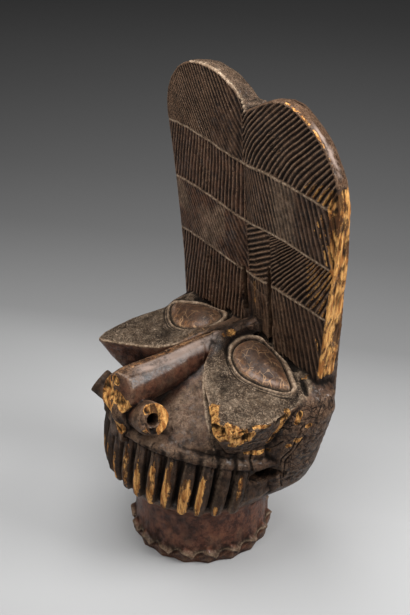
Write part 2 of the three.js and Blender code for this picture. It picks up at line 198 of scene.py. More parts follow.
# Cracks down the head's side and in the cheek, with their half width.
CRACK_DEPTH = 2.2
CRACKS = (
    (((174, 50, 252), (169, 44, 238), (166, 42, 222), (160, 37, 209), (154, 31, 198), (151, 31, 186)), 1.0),
    (((180, 73, 259), (178, 59, 251), (173, 51, 234), (167, 46, 219), (156, 36, 192), (150, 38, 160)), 1.2),
    (((176, 56, 271), (174, 52, 261), (173, 48, 253)), 1.0),
    (((149, 33, 167), (142, 43, 135)), 1.3),
    (((154, -37, 255), (156, -14, 251), (155, 8, 247), (159, 28, 258)), 1.6),
    (((177, 82, 284), (180, 73, 272), (179, 64, 258)), 0.9),
    (((139, 7, 212), (146, 20, 219), (159, 29, 232)), 1.0),
)

# Scalloped band round the neck's foot: number of arches, turn, and the height of its ridge
BAND_UNITS = 18
BAND_TURN = 0.06
BAND_LOW = 9.5
BAND_RISE = 12

# Soft lumps of wood at the nose's root: middle and reach along each axis.
KNOTS = (((11, 26, 332), (17, 15, 10)), ((14, 50, 329), (13, 20, 11)), ((24, 84, 336), (15, 14, 16)))
# Rim of the cheek's top in plan for +X, and the ridge down its inner edge from the nose's root.
CHEEK_RIM = (
    (12, 14), (34, -20), (60, -38), (88, -51), (116, -69), (136, -83), (149, -83), (161, -65), (168, -38),
    (171, -8), (169, 20), (165, 48), (158, 80), (100, 98), (40, 86),
)
CHEEK_EDGE = (
    (13, -4, 332), (21, -11, 313), (42, -27, 296), (64, -41, 279), (86, -52, 262), (103, -58, 248),
    (117, -62, 232),
)

# Colours of the smoked surface, with its painted highlights and painted shade
SOOT = (0.009, 0.0045, 0.003)
SMOKED = (0.056, 0.028, 0.016)
PALE_GRAIN = (0.115, 0.062, 0.036)
RED_DARK = (0.034, 0.010, 0.006)
RED_LIGHT = (0.145, 0.054, 0.029)
RED_SOOT = (0.018, 0.008, 0.006)
SCUFFED = (0.200, 0.125, 0.080)
# colour of rubbed edges and of the painted highlight on the ribs' crests
RUBBED_AND_HIGHLIT = (0.190, 0.115, 0.070)
# painted highlight on the ribs' crests
RIB_HIGHLIGHT = (0.255, 0.160, 0.100)
AMBER = (0.36, 0.160, 0.060)
AMBER_THREADS = (0.56, 0.330, 0.170)
# painted highlight streaks
PAINTED_SHEEN = (0.42, 0.320, 0.270)
# painted shade for hollows, grooves, cracks and gaps, also used for the darkest wood
SHADE = (0.005, 0.0032, 0.0022)
# Dust and the pits under it
DUST_THIN = (0.230, 0.158, 0.100)
DUST_THICK = (0.460, 0.345, 0.240)
PITS = (0.026, 0.015, 0.010)
# Bare wood
GOLD_DARK = (0.33, 0.125, 0.030)
GOLD_LIGHT = (0.76, 0.400, 0.125)
GOLD_FIBRE = (0.085, 0.030, 0.010)
GOLD_STAIN = (0.050, 0.020, 0.009)

# Scale and bend of the crooked line patterns
FISSURE_SCALE = 70
FISSURE_BEND_SCALE = 34
FISSURE_BEND = 0.03

# Floor paper: the way from its front to its back, and its greys by share of that way, which paint the light's
# fall-off: brightest near the object, darker to the back
FLOOR_WAY = (-0.667, 0.761, 0)
FLOOR_FRONT = -0.4
FLOOR_BACK = 2.6
PAPER_FALLOFF_GREYS = (
    (0.0, 0.33), (0.157, 0.46), (0.227, 0.41), (0.287, 0.31), (0.32, 0.235), (0.44, 0.165), (0.533, 0.15),
    (0.777, 0.145), (0.907, 0.13),
)

# Lights: name, place, the point it shines at, size and power
SOFTBOXES = (
    ("key_softbox", (1.05, 0.75, 1.35), (0, 0.05, 0.4), (0.9, 0.9), 34),
    ("top_softbox", (-0.15, -0.25, 1.55), (0, 0, 0.2), (1.2, 1.2), 28),
    ("front_softbox", (0.5, -1.5, 0.9), (0, 0, 0.3), (0.8, 0.8), 9),
)
AIR_GREY = (0.5, 0.5, 0.5, 1)
AIR_STRENGTH = 0.05

# Numbers that scramble the noise lattice
SCRAMBLE = tuple(np.uint32(k) for k in (374761393, 668265263, 2246822519, 1274126177, 2654435761))
SEED_STEP = 40503
SEED_START = 977

# Camera of the photo
CAMERA_TURN = math.radians(54.2)
CAMERA_TILT = math.radians(31.3)
CAMERA_PLACE = (1.4329, -1.0139, 1.4597)
CAMERA_LENS = 84.70
CAMERA_SENSOR = 36


def ease(value, low, high):
    """Goes smoothly from 0 at low to 1 at high."""
    t = np.clip((value - low) / (high - low), 0, 1)
    return t * t * (3 - 2 * t)


def lattice(i, j, k, seed):
    """Repeatable value from 0 to 1 at each whole-number point."""
    a, b, c, d, e = SCRAMBLE
    h = i.astype(np.uint32) * a + j.astype(np.uint32) * b
    h = h + k.astype(np.uint32) * c + np.uint32(seed * SEED_STEP + SEED_START)
    h = (h ^ (h >> np.uint32(13))) * d
    h = (h ^ (h >> np.uint32(15))) * e
    return (h ^ (h >> np.uint32(16))) / 4294967295.0


def lumps(p, size, seed):
    """Smooth unevenness from -1 to 1; the lumps' size is one number or one for each axis."""
    q = p / np.asarray(size, dtype=float)
    cell = np.floor(q).astype(np.int64)
    f = q - cell
    f = f * f * (3 - 2 * f)
    total = np.zeros(len(p))
    for corner in range(8):
        step = [(corner >> axis) & 1 for axis in range(3)]
        share = np.ones(len(p))
        for axis in range(3):
            share = share * (f[:, axis] if step[axis] else 1 - f[:, axis])
        total += share * lattice(*(cell[:, axis] + step[axis] for axis in range(3)), seed)
    return 2 * total - 1


def path_distance(p, path):
    """Distance from each point to a chain of straight runs, in the plane or in space."""
    best = np.full(len(p), 1e9)
    for a, b in zip(path, path[1:]):
        a, b = np.array(a, dtype=float), np.array(b, dtype=float)
        run = b - a
        t = np.clip(((p - a) @ run) / (run @ run), 0, 1)
        best = np.minimum(best, np.linalg.norm(p - a - t[:, None] * run, axis=1))
    return best


class Surface:
    """The block's vertices in the carver's millimetres, with their normals and neighbours."""

    def __init__(self, mesh):
        self.mesh = mesh
        flat = np.empty(len(mesh.vertices) * 3, dtype=np.float32)
        mesh.vertices.foreach_get("co", flat)
        self.p = flat.reshape(-1, 3).astype(float) / MM - CARVER_ORIGIN
        ends = np.empty(len(mesh.edges) * 2, dtype=np.int32)
        mesh.edges.foreach_get("vertices", ends)
        ends = ends.reshape(-1, 2)
        self.near = np.concatenate([ends[:, 0], ends[:, 1]])
        self.far = np.concatenate([ends[:, 1], ends[:, 0]])
        self.count = np.maximum(np.bincount(self.near, minlength=len(self.p)), 1)
        self.read_normals()

    def read_normals(self):
        flat = np.empty(len(self.p) * 3, dtype=np.float32)
        self.mesh.vertices.foreach_get("normal", flat)
        self.n = flat.reshape(-1, 3).astype(float)

    def write(self):
        """Puts the moved points back on the mesh."""
        flat = ((self.p + CARVER_ORIGIN) * MM).astype(np.float32).ravel()
        self.mesh.vertices.foreach_set("co", flat)
        self.mesh.update()
        self.read_normals()

    def around(self, values):
        """Mean of the neighbours' values."""
        if values.ndim == 1:
            return np.bincount(self.near, values[self.far], len(self.p)) / self.count
        return np.stack([self.around(values[:, axis]) for axis in range(values.shape[1])], 1)

    def relax(self, share, passes):
        """Moves each point by its share of the way to the middle of its neighbours."""
        for _ in range(passes):
            self.p += share[:, None] * (self.around(self.p) - self.p)

    def spread(self, values, passes):
        """Values blurred over the neighbours."""
        for _ in range(passes):
            values = 0.5 * values + 0.5 * self.around(values)
        return values


def applied(obj, kind, **settings):
    """The object's mesh with one modifier applied."""
    modifier = obj.modifiers.new(kind.title(), kind)
    for name, value in settings.items():
        setattr(modifier, name, value)
    shown = obj.evaluated_get(bpy.context.evaluated_depsgraph_get())
    mesh = bpy.data.meshes.new_from_object(shown)
    obj.modifiers.clear()
    old = obj.data
    obj.data = mesh
    bpy.data.meshes.remove(old)
    return mesh


def tooth_ends(turn):
    """Heights of the upper and lower end of a tooth at an angle round the mouth."""
    top = TOOTH_TOP - TOOTH_TOP_FALL * min(1.1, abs(turn) / math.radians(80)) ** 2
    return top, TOOTH_FOOT + TOOTH_FOOT_RISE * (1 - min(1, abs(turn) / math.radians(45)) ** 2)


def soft_ball(bm, shape):
    """A closed ball whose points are moved to the places that shape gives."""
    made = bmesh.ops.create_uvsphere(bm, u_segments=28, v_segments=22, radius=1)
    for vert in made["verts"]:
        vert.co = Vector((np.array(shape(*vert.co)) + CARVER_ORIGIN) * MM)


def tongue(bm, k):
    """Tooth k: a round rib that leans a little and hangs free at its lower end."""
    mid = math.radians(k * TOOTH_STEP + TOOTH_SHIFT)
    top, foot = tooth_ends(mid)
    lean = math.radians(TOOTH_LEAN + TOOTH_LEAN_GAIN * math.sin(mid))
    half = math.radians(TOOTH_STEP) * TOOTH_HALF

    def shape(x, y, z):
        ring = math.hypot(x, y) or 1.0
        width = (1 - abs(z) ** 4) ** 0.5
        t = (z + 1) / 2
        belly = np.interp(t, *zip(*TOOTH_BELLY))
        hang = TOOTH_HANG * max(0.0, 1 - t / 0.2)
        out = -TOOTH_INSET + hang + width * y / ring * ((TOOTH_ROUND - hang) * belly if y > 0 else TOOTH_BACK)
        turn = mid + lean * (t - 0.5) + half * width * x / ring
        reach_a, reach_b = MOUTH_A + out, MOUTH_B + out
        height = foot + (top + TOOTH_TUCK - foot) * t
        return reach_a * math.sin(turn), MOUTH_Y - reach_b * math.cos(turn), height

    soft_ball(bm, shape)


def rough_block():
    """A closed copy of the solid with rounded teeth and knots added, and points along its true edges."""
    bm = bmesh.new()
    bm.from_mesh(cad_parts["carved_mask"].data)
    bmesh.ops.remove_doubles(bm, verts=bm.verts, dist=WELD)
    edges = []
    for edge in bm.edges:
        if len(edge.link_faces) == 2 and edge.calc_face_angle(0) > CREASE_ANGLE:
            a, b = (v.co.copy() for v in edge.verts)
            steps = max(1, int((b - a).length / EDGE_STEP))
            edges += [a.lerp(b, i / steps) for i in range(steps + 1)]
    for i in range(TOOTH_COUNT):
        tongue(bm, i - (TOOTH_COUNT - 1) / 2)
    for middle, reach in KNOTS:
        soft_ball(bm, lambda x, y, z: [m + r * a for m, r, a in zip(middle, reach, (x, y, z))])
    bmesh.ops.recalc_face_normals(bm, faces=bm.faces)
    mesh = bpy.data.meshes.new("mask_wood")
    bm.to_mesh(mesh)
    bm.free()
    obj = bpy.data.objects.new("mask_wood", mesh)
    bpy.context.collection.objects.link(obj)
    applied(obj, "REMESH", mode="VOXEL", voxel_size=VOXEL)
    return obj, edges


def edge_distance(p, edges):
    """Distance from each vertex to the nearest true edge of the solid."""
    tree = kdtree.KDTree(len(edges))
    for i, point in enumerate(edges):
        tree.insert(point, i)
    tree.balance()
    places = (p + CARVER_ORIGIN) * MM
    return np.array([tree.find(place)[2] for place in places.tolist()]) / MM


# Crest front

def swell(x):
    """How far the crest's front stands out before its plane."""
    out, reach = zip(*SWELL)
    smooth = [np.interp(np.abs(np.abs(x) + step), out, reach) for step in (-5, -2.5, 0, 2.5, 5)]
    return np.mean(smooth, axis=0)


def crest_plane(z):
    """The leaning plane behind the crest's swelling front."""
    return PLANE_Y - PLANE_LEAN * (z - PLANE_LEAN_Z)


def crest_front(x, z):
    return crest_plane(z) - swell(x)


def line_height(k, x):
    """Height of band line k, which rises in an arch across each lobe."""
    return LINES_Z[k] + LINE_ARCH * (1 - ((np.abs(x) - LOBE_MIDDLE) / LOBE_MIDDLE) ** 2)


def outline_distance(x, z):
    """Distance to the crest's outline seen from the front."""
    flat = np.stack([x, z], 1)
    left = path_distance(flat, [(-a, b) for a, b in EDGE_LEFT[2:]])
    right = path_distance(flat, EDGE_RIGHT[1:])
    return np.minimum(left, right)


def fan(out, travel, lean_in, lean_out, pitch_in, pitch_out):
    """Rib number at a distance out, for ribs whose lean and spacing change across a lobe."""
    turn = (lean_out - lean_in) / LOBE_WIDTH
    foot = (out - lean_in * travel) / (1 + turn * travel)
    growth = (pitch_out - pitch_in) / LOBE_WIDTH + 1e-6
    return np.log1p(np.maximum(growth * foot / pitch_in, -0.9)) / growth


def rib_number(x, z):
    """Number of the rib at each point of the crest's front, its strength, and the band."""
    out = np.abs(x)
    left = x < 0
    top, middle, low = (line_height(k, x) for k in range(3))
    band = (z < top).astype(int) + (z < middle) + (z < low)
    curve = np.interp(z - LINES_Z[0], *zip(*TOP_CURVE))
    steep = fan(out, z - LINES_Z[2], 1.19, 0.42, 9.8, 10.2)
    flat = (z - 0.62 * out) / 8.4
    upper_top, lower_top = LINES_Z[0] + LINE_ARCH, LINES_Z[2] + LINE_ARCH
    fans = {
        (True, 0): (fan(out, z - LINES_Z[0], 0.5, 0.8, 6.4, 7.2), 0.85),
        (True, 1): (fan(out, upper_top - z, 0.03, 0.40, 5.6, 8.8), 1.0),
        (True, 2): (fan(out, z - LINES_Z[2], 0.5, 0.85, 6.6, 8.0), 0.3),
        (True, 3): (fan(out, lower_top - z, 0.10, 0.42, 5.8, 8.8), 1.0),
        (False, 0): ((out - curve) / 9.2, 1.25),
        (False, 1): (fan(out, upper_top - z, 0.34, 0.22, 8.2, 8.6), 0.6),
        (False, 2): (np.where(out < FLAT_REACH, flat, steep), 1.3),
        (False, 3): (fan(out, lower_top - z, 0.12, 0.25, 7.5, 8.5), 0.5),
    }
    number = np.zeros(len(x))
    strength = np.zeros(len(x))
    for (side, row), (value, force) in fans.items():
        here = (left == side) & (band == row)
        number[here] = value[here]
        strength[here] = force
    worn = (~left & (band == 1)) * ease(out, 72, 86) * ease(136 - out, 0, 14)
    worn = worn + (left & (band == 0)) * ease(68 - out, 0, 14) * ease(688 - z, 0, 34)
    return number, strength * (1 - 0.65 * worn), band


def ribs(p):
    """0 in a cut to 1 on a rib, its strength, the distance to a band line, and its number."""
    x, _, z = p.T
    bent = p + 1.5 * np.stack([lumps(p, 48, 3), 0 * x, lumps(p, 40, 4)], 1)
    bent = bent + 0.5 * np.stack([lumps(p, (10, 400, 22), 5), 0 * x, 0 * x], 1)
    number, strength, band = rib_number(bent[:, 0], bent[:, 2])
    whole = np.floor(number + 0.5).astype(np.int64)
    strength = strength * (0.72 + 0.5 * lattice(whole, band, (x > 0).astype(np.int64), 11))
    strength = strength * (0.82 + 0.3 * lumps(p, 26, 12))
    line = np.min([np.abs(z + 0.8 * lumps(p, 14, 6) - line_height(k, x)) for k in range(3)], axis=0)
    plainer = (x > -14) & (x < FLAT_REACH) & (z < 404)
    strength = strength * ease(line, 1.6, 3.6) * ease(outline_distance(x, z), 2.0, 5)
    strength = strength * np.where(plainer, 0.3, 1) * ease(z, FRONT_FOOT + 6, FRONT_FOOT + 24)
    return (0.5 + 0.5 * np.cos(2 * math.pi * number)) ** 1.35, strength, line, number


def carve_ribs(s):
    """Sets the crest's front on its smooth swell and cuts the ribs and the band lines into it."""
    x, y, z = s.p.T
    front = crest_front(x, z)
    on_front = (np.abs(y - front) < 3.4) & (s.n[:, 1] < -0.5) & (z > FRONT_FOOT)
    share = on_front * ease(outline_distance(x, z), 0.4, 3.0) * ease(z, FRONT_FOOT, FRONT_FOOT + 14)
    rib, strength, line, _ = ribs(s.p)
    relief = RIB_DEPTH * strength * (1 - rib) + LINE_DEPTH * (1 - ease(line, 0.5, 2.0))
    relief = relief + 0.35 * lumps(s.p, (9, 9, 30), 13) + 0.5 * lumps(s.p, 55, 14)
    s.p[:, 1] = y + share * (front + relief - y)
    s.write()


# Face

def rounded(outline):
    """Points along a smooth closed curve through the outline's points."""
    here = np.array(outline, dtype=float)
    last, then, later = np.roll(here, 1, 0), np.roll(here, -1, 0), np.roll(here, -2, 0)
    curve = []
    for t in np.arange(CURVE_STEPS) / CURVE_STEPS:
        bend = (2 * last - 5 * here + 4 * then - later) * t ** 2
        bend = bend + (3 * here - last - 3 * then + later) * t ** 3
        curve.append(here + 0.5 * ((then - last) * t + bend))
    return np.stack(curve, 1).reshape(-1, 2)


def outline_depth(flat, outline):
    """Distance to a closed outline, negative inside it."""
    far = path_distance(flat, [*outline, outline[0]])
    inside = np.zeros(len(flat), dtype=bool)
    for (ax, ay), (bx, by) in zip(outline, np.roll(outline, -1, 0)):
        crosses = (ay > flat[:, 1]) != (by > flat[:, 1])
        inside ^= crosses & (flat[:, 0] < ax + (flat[:, 1] - ay) * (bx - ax) / ((by - ay) or 1e-9))
    return np.where(inside, -far, far)


def eye_plane(x, y):
    """Height of the cheek's plane that an eye is carved on."""
    out, back = np.abs(x) - EYE_MID[0], y - EYE_MID[1]
    along = out * math.cos(EYE_TURN) + back * math.sin(EYE_TURN)
    across = back * math.cos(EYE_TURN) - out * math.sin(EYE_TURN)
    return EYE_Z - EYE_FALL * along + EYE_ROLL * across


def eye_fields(p):
    """Distance outside an eye's bulge, share of the upper lid, and distance to its groove."""
    x, y, z = p.T
    out = np.abs(x)
    near = (out > 12) & (out < 182) & (y > -14) & (y < 104) & (z > 284) & (z < 356)
    away = np.full(len(p), 99.0)
    groove = np.full(len(p), 99.0)
    away[near] = outline_depth(np.stack([out, y], 1)[near], rounded(EYE_EDGE))
    path = [(a, b, float(eye_plane(a, b)) + GROOVE_RISE) for a, b in LID_GROOVE]
    groove[near] = path_distance(np.stack([out, y, z], 1)[near], path)
    upper = ease(y - (22 + 0.22 * (out - 38)), -6, 10)
    return away, upper, groove


def carve_eyes(s):
    """Cuts each eye's bulge, its thin lower rim, the upper lid and the groove behind the lid."""
    x, y, z = s.p.T
    away, upper, groove = eye_fields(s.p)
    depth = np.maximum(-away, 0)
    bulge = EYE_FOOT + EYE_SWELL * (1 - (1 - np.minimum(depth / EYE_REACH, 1)) ** 2.3)
    rim = np.interp(away, *zip(*LOWER_RIM))
    rim = rim + upper * (np.interp(away, *zip(*UPPER_LID)) - rim)
    target = eye_plane(x, y) + np.where(away < 0, bulge, rim)
    clear = ease(crest_front(x, z) - y, 1.0, 5.0) * ease(s.n[:, 2], 0.1, 0.3) * (z > 286)
    share = clear * ease(15 - away, 0, 6)
    s.p[:, 2] = z + share * (target - z)
    cut = np.clip(1 - (groove / GROOVE_REACH) ** 2, 0, 1) * ease(away, 8, 12)
    s.p -= (GROOVE_DEPTH * cut)[:, None] * s.n
    s.write()


def mouth_fields(p):
    """Angle and reach round the mouth, the tooth's number, and the share across that tooth."""
    x, y, z = p.T
    angle = np.arctan2(x / MOUTH_A, (MOUTH_Y - y) / MOUTH_B)
    reach = np.hypot(x / MOUTH_A, (MOUTH_Y - y) / MOUTH_B)
    t = np.clip((z - LEAN_LOW) / LEAN_RUN, 0, 1)
    lean = np.radians(TOOTH_LEAN + TOOTH_LEAN_GAIN * np.sin(angle))
    turn = np.degrees(angle - lean * (t - 0.5)) - TOOTH_SHIFT
    last = (TOOTH_COUNT - 1) / 2
    number = np.clip(np.floor(turn / TOOTH_STEP) + 0.5, -last, last)
    return np.degrees(angle), reach, number, turn / TOOTH_STEP - number


def on_teeth(p, reach, low, high, inner):
    """True on the teeth between two heights, from an inner reach round the mouth outwards."""
    return (p[:, 2] > low) & (p[:, 2] < high) & (reach > inner) & (p[:, 1] < 30)


def over_ridge(p):
    """Height over the wavy ridge round the neck's foot."""
    x, y, z = p.T
    wave = np.abs(np.cos((np.arctan2(x, -y) + BAND_TURN) * BAND_UNITS / 2)) ** 0.8
    return z - (BAND_LOW + BAND_RISE * wave)


def head_side(p):
    """Share of the rough right side of the head, behind the cheek."""
    x, y, z = p.T
    return ease(z, 128, 150) * ease(300 - z, 0, 14) * ease(x, 92, 112) * ease(y, -74, -56)


def breaks_near(p):
    """For each break: 1 on its path to 0 at its reach, how bare it is, and its depth."""
    return [(1 - path_distance(p, path) / reach, force, depth) for path, reach, force, depth in BREAKS]


def cracks_near(p):
    """For each crack: the distance to it and its half width."""
    bent = p + 1.2 * np.stack([lumps(p, 9, seed) for seed in (31, 32, 33)], 1)
    return [(path_distance(bent, path), half) for path, half in CRACKS]


def crack_open(p):
    """Share by which a crack is open along its run."""
    return ease(lumps(p, 11, 35), -0.6, 0.2)


def weather(s, creases):
    """Hand-cut unevenness, the foot's scallops, breaks with torn grain, and cracks."""
    p = s.p
    x, y, z = p.T
    loss = 0.4 * lumps(p, 34, 21) + 0.28 * lumps(p, (11, 11, 20), 22)
    loss += head_side(p) * (0.7 * lumps(p, (8, 8, 14), 26) + 0.5 * lumps(p, 5, 27))
    chips = lumps(p, (13, 13, 17), 28) + 0.45 * lumps(p, (5, 5, 11), 29)
    for near, _, depth in breaks_near(p):
        loss += depth * ease(near, 0, 0.45) * (0.6 + 0.75 * chips)
    fibre = lumps(p, (3.2, 3.2, 26), 23) + 0.7 * lumps(p, (6, 6, 12), 24)
    strip = ease(x - np.interp(z, *zip(*BARE_EDGE)), -4, 4)
    strip = strip * ease(z, BARE_LOW, BARE_LOW + 10) * (z < BARE_HIGH)
    loss += strip * (0.7 + 0.8 * fibre)
    nicks = ease(1 - creases, 0, 1) * ease(lumps(p, 13, 25), 0.3, 0.9)
    loss += 1.1 * nicks
    for close, half in cracks_near(p):
        loss += CRACK_DEPTH * np.clip(1 - close / (half + 0.8), 0, 1) * crack_open(p)
    angle, reach, _, across = mouth_fields(p)
    gaps = on_teeth(p, reach, 116, 214, 0.97) * ease(np.abs(across), 0.38, 0.5) * (np.abs(across) < 0.6)
    loss += TOOTH_GAP_DEPTH * gaps
    on_lip = (z > 186) & (z < 252) & (reach > 1.0) & (y < 40)
    for crack in LIP_CRACKS:
        near = np.abs(angle - crack + 1.2 * lumps(p, 8, 34)) * MM_PER_DEGREE
        loss += on_lip * np.clip(1 - near / 1.5, 0, 1) * ease(lumps(p, 12, 36), -0.5, 0.2)
    over = over_ridge(p)
    on_foot = (np.hypot(x, y) > 100) & (z < 30) & (s.n[:, 2] > -0.7)
    scallop = np.clip(-over / 3, 0, 1) * np.clip((z - 1) / 2, 0, 1)
    loss += on_foot * (1.1 * scallop - (0.5 + 0.4 * lumps(p, 9, 46)) * np.exp(-(over / 1.7) ** 2))
    edge = path_distance(np.stack([np.abs(x), y, z], 1), CHEEK_EDGE)
    loss -= 1.1 * np.clip(1 - edge / 2.2, 0, 1)
    s.p -= np.maximum(loss, -1.2)[:, None] * s.n
    low, high = np.array(cad_low) / MM - CARVER_ORIGIN, np.array(cad_high) / MM - CARVER_ORIGIN
    s.p = np.clip(s.p, low + BOX_MARGIN, high - BOX_MARGIN)
    s.write()


# Marks of age and use, painted shade and painted highlights for the wood's material. Lengths in them are the
# carver's millimetres.

def shared_places(s):
    """The finished surface with the distances and regions that several marks share."""
    p, n = s.p, s.n
    x, y, z = p.T
    out = np.abs(x)
    g = SimpleNamespace(p=p, n=n, out=out, up=n[:, 2])
    g.rib, g.strength, g.line, g.number = ribs(p)
    g.behind = y - crest_front(x, z)
    g.on_front = (np.abs(g.behind) < 5.5) & (n[:, 1] < -0.2) & (z > FRONT_FOOT)
    g.hollow_fine = ((s.spread(p, 3) - p) * n).sum(1)
    g.hollow_wide = ((s.spread(p, 14) - p) * n).sum(1)
    g.away, g.upper, g.groove = eye_fields(p)
    g.on_eye = ease(-g.away, -0.6, 0.6) * (z > 290)
    _, reach, g.tooth, g.across = mouth_fields(p)
    g.in_teeth = on_teeth(p, reach, 112, 232, 0.96)
    g.over = over_ridge(p)
    g.from_axis = np.hypot(x, y)
    g.on_band = ease(28 - z, 0, 3) * (g.from_axis > 98)
    g.inward = -outline_depth(np.stack([out, y], 1), CHEEK_RIM)
    g.edge = path_distance(np.stack([out, y, z], 1), CHEEK_EDGE)
    g.nose = ease(36 - out, 0, 8) * ease(34 - y, 0, 20) * ease(z, 258, 274) * ease(y, -156, -134)
    g.neck = ease(114 - z, 0, 6) * ease(g.over, 2, 5) * (g.from_axis > 90)
    root = ease(32 - np.abs(x - 14), 0, 8) * ease(y, 4, 16) * ease(z, 318, 324)
    g.nose_root = root * ease(372 - z, 0, 12) * (g.away > 12)
    far_edge = ease(outline_distance(x, z), 14, 5) * (x > 96)
    g.far_edge = far_edge * ease(z, 612, 640) * (g.behind > 3)
    valley = ease(out, 16, 26) * ease(-g.inward, 0, 3) * ease(g.up, -0.1, 0.35) * ease(z, 226, 240)
    valley = valley * ease(312 - z, 0, 12) * (y < -10) * ease(y, -122, -108) * ease(112 - out, 0, 14)
    g.valley = valley * (0.3 + 0.7 * ease(z, 238, 264)) * (0.75 + 0.35 * lumps(p, 30, 44))
    return g


def bare_wood(g):
    """Golden wood in the breaks, down the crest's side, on the teeth and the right lobe's top edge."""
    p = g.p
    x, y, z = p.T
    fields = [np.clip(0.5 + 0.9 * near, 0, 1) * force for near, force, _ in breaks_near(p)]
    inner = x - np.interp(z, *zip(*BARE_EDGE)) + 3.5 * lumps(p, (10, 10, 20), 48)
    stains = ease(7 - inner, 0, 6) * ease(lumps(p, (6, 6, 15), 47), 0.1, 0.6)
    strip = np.clip(0.56 + inner / 6, 0, 0.76) - 0.4 * stains
    strip = np.maximum(strip, 0.76 * ease(g.n[:, 0], 0.35, 0.55) * (x > 140))
    strip = strip * ease(z, BARE_LOW, BARE_LOW + 12)
    strip = strip * ease(BARE_HIGH + 2 + 9 * lumps(p, (8, 8, 16), 50) - z, 0, 6)
    back_limit = np.interp(z, (300, 330, 460), (20, 25, 33))
    fields.append(strip * ease(crest_plane(z) + back_limit - y, -6, 4))
    for k, (low, high, shift, half, force) in TOOTH_WEAR.items():
        sideways = np.abs(g.across * math.radians(TOOTH_STEP) * MOUTH_A - shift) / half
        along = np.abs(z - (low + high) / 2) / ((high - low) / 2)
        near = 1 - (sideways ** 2.5 + along ** 2.5) ** 0.4
        fields.append(np.clip(0.58 + 0.5 * near, 0, 0.85) * force * (g.tooth == k) * g.in_teeth)
    top_edge = path_distance(np.stack([x, z], 1), EDGE_RIGHT[6:16])
    fields.append(np.clip(0.56 - top_edge / 6, 0, 1) * (g.behind < 5) * (x > 30))
    return np.max(fields, axis=0)


def on_head(y, z):
    """Share of the head between the mouth's upper edge and the crest's foot."""
    return ease(336 - z, -14, 6) * ease(z, 205, 240) * (y < 110)


def dusty(g):
    """Pale dust on the cheeks, lids, band lines, edges and worn fields."""
    p, out, up, away = g.p, g.out, g.up, g.away
    x, y, z = p.T
    top = ease(up, 0.35, 0.8)
    cheek = on_head(y, z) * top * ease(out, 22, 36) * ease(97 - y, 0, 10)
    cheek = cheek * ease(g.inward, -4, 2) * ease(z, 236, 262)
    lid = ease(away, 2.5, 4) * ease(13 - away, 0, 3) * top * (y < 96)
    rim = ease(2.4 - np.abs(g.inward), 0, 1.2) * ease(up, 0.1, 0.35) * (z > 262) * (z < 325) * (y < 24)
    upper_line, middle_line, lower_line = (line_height(k, x) for k in range(3))
    left_field = (x < -40) * (z < middle_line) * (z > lower_line) * ease(lumps(p, 40, 41), -0.2, 0.4)
    right_field = ease(x, 60, 84) * ease(130 - x, 0, 20) * (z < upper_line) * (z > middle_line)
    left_edge = path_distance(np.stack([x, z], 1), [(-a, b) for a, b in EDGE_LEFT[:10]])
    left_edge = ease(left_edge, 3.0, 1.4) * (x < 12) * (g.behind < 4) * ease(lumps(p, 12, 45), -0.8, -0.2)
    dust = np.max([
        0.9 * ease(g.line, 1.9, 0.7) * g.on_front,
        0.78 * cheek,
        0.6 * lid,
        0.85 * ease(g.edge, 2.0, 0.8),
        0.9 * rim,
        0.42 * g.valley,
        0.28 * g.on_front * left_field,
        0.22 * g.on_front * right_field,
        0.95 * left_edge,
        0.16 * ease(up, 0.15, 0.8) * ease(z, 400, 420) * (x < 20) * (g.behind > 3),
        0.6 * np.exp(-(g.over / 1.3) ** 2) * g.on_band * (0.7 + 0.5 * lumps(p, 9, 46)),
        0.25 * g.in_teeth * ease(-g.across, 0.12, 0.2) * ease(0.36 + g.across, 0, 0.08),
        0.36 * ease(g.over, -1, 1) * ease(23.5 - z, 0, 2.5) * (g.from_axis > 98),
        0.1 * ease(up, 0.0, 0.6) * ease(z, 196, 206) * ease(250 - z, 0, 6) * (y < 40),
    ], axis=0)
    return dust * (1 - g.on_eye) * (1 - g.nose)


def pitted(g):
    """Fine curled texture on the cheeks' tops and on the crest's top face."""
    x, y, z = g.p.T
    cheek = on_head(y, z) * ease(g.up, 0.3, 0.6) * ease(g.inward, 0.5, 5) * ease(g.away, 8, 13)
    crest_top = 0.45 * ease(g.up, 0.1, 0.5) * (z > 560) * (g.behind > 3) * (x < 20)
    return np.maximum(cheek, crest_top)


def reddish(g):
    """Redder wood on the neck, nose, cheek fronts, the foot and the left lobe."""
    x, y, z = g.p.T
    cheek_front = ease(-18 - x, 0, 8) * ease(g.inward, -30, -8) * ease(0.2 - g.up, 0, 0.2)
    cheek_front = cheek_front * ease(z, 214, 236) * (z < 310) * (y < 0) * ease(y, -116, -102)
    return np.max([
        g.neck,
        0.9 * g.nose * ease(0.75 - g.up, 0, 0.5),
        0.85 * cheek_front,
        0.3 * g.on_eye,
        0.6 * g.on_band * ease(-g.over, 1, 4),
        0.35 * g.on_front * (x < 0) * ease(line_height(2, x) - z, 0, 6),
        0.3 * g.on_front * (x < 0) * (z < line_height(0, x)),
        0.45 * g.valley,
    ], axis=0)


def honey_coloured(g):
    """Honey coloured wood on the eyes, the nose's side and low on the crest's middle."""
    x, _, z = g.p.T
    return np.max([
        g.on_eye * (0.4 + 0.6 * ease(10 + g.away, 0, 6) * (1 - g.upper)),
        0.9 * g.nose * ease(4 - x, 0, 8) * ease(g.up, 0.1, 0.5),
        0.22 * ease(x, 4, 12) * ease(52 - x, 0, 8) * g.on_front * ease(470 - z, 0, 30),
    ], axis=0)


